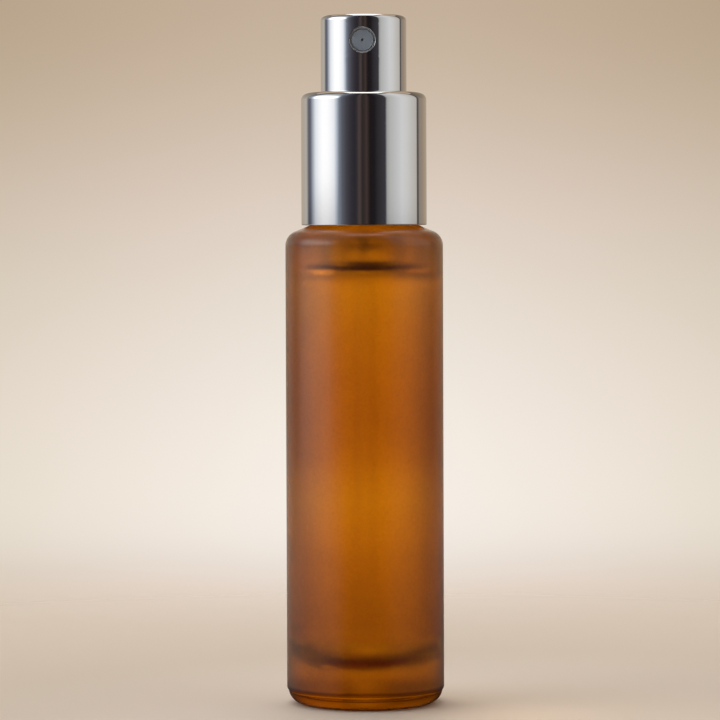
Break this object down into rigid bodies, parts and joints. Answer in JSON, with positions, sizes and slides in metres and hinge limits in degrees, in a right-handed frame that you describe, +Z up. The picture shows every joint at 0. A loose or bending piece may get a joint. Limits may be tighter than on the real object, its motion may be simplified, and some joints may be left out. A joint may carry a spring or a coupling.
{
  "type": "spray bottle",
  "caption": "Slim round frosted amber glass atomiser with a screw-on fine-mist pump in a polished metal collar and push-down actuator.",
  "frame": {"origin": "centre of the base, on the surface that the bottle stands on", "axes": "+Z up along the bottle's axis, the nozzle sprays towards -Y"},
  "size_m": [0.02, 0.02, 0.0872],
  "materials": {
    "amber_glass": "acid-frosted outside, fire-polished base edge",
    "polished_aluminium": "mirror-polished, clear anodised",
    "white_polypropylene": "moulded, satin",
    "natural_polypropylene": "moulded, translucent",
    "natural_polyethylene": "translucent, waxy",
    "gasket_foam": "soft expanded polyethylene",
    "spring_steel": "drawn stainless wire",
    "ball_steel": "polished stainless ball",
    "grey_nozzle_plastic": "moulded acetal, fine matt"
  },
  "bodies": {
    "bottle": {"glass_bottle": "amber_glass"},
    "pump": {"pump_housing": "natural_polypropylene", "turret": "white_polypropylene", "neck_gasket": "gasket_foam", "dip_tube": "natural_polyethylene", "return_spring": "spring_steel"},
    "closure": {"screw_closure": "white_polypropylene", "collar_shell": "polished_aluminium"},
    "plunger": {"stem": "natural_polypropylene", "poppet": "white_polypropylene", "precompression_spring": "spring_steel"},
    "piston": {"piston": "natural_polyethylene"},
    "ball": {"inlet_ball": "ball_steel"},
    "actuator": {"actuator_core": "white_polypropylene", "actuator_shell": "polished_aluminium", "nozzle_insert": "grey_nozzle_plastic"}
  },
  "joints": [
    {"name": "pump_lift", "type": "slide", "parent": "bottle", "child": "pump", "axis": [0, 0, 1], "range_m": [0, 0.0032]},
    {"name": "closure_unscrew", "type": "hinge", "parent": "pump", "child": "closure", "pos_m": [0, 0, 0.065], "axis": [0, 0, 1], "range_deg": [0, 540]},
    {"name": "actuator_press", "type": "slide", "parent": "pump", "child": "plunger", "axis": [0, 0, -1], "range_m": [0, 0.0035], "stiffness_N_per_m": 1000, "springref_m": -0.0001, "deforming": ["return_spring"]},
    {"name": "piston_slip", "type": "slide", "parent": "plunger", "child": "piston", "axis": [0, 0, 1], "range_m": [0, 0.0006], "stiffness_N_per_m": 500, "springref_m": -0.0001, "deforming": ["precompression_spring"]},
    {"name": "ball_lift", "type": "slide", "parent": "pump", "child": "ball", "axis": [0, 0, 1], "range_m": [0, 0.0005]},
    {"name": "nozzle_aim", "type": "hinge", "parent": "plunger", "child": "actuator", "pos_m": [0, 0, 0.08], "axis": [0, 0, 1], "continuous": true}
  ],
  "couplings": [
    {"joint": "pump_lift", "follows": "closure_unscrew", "m_per_rad": 0.00033693}
  ]
}
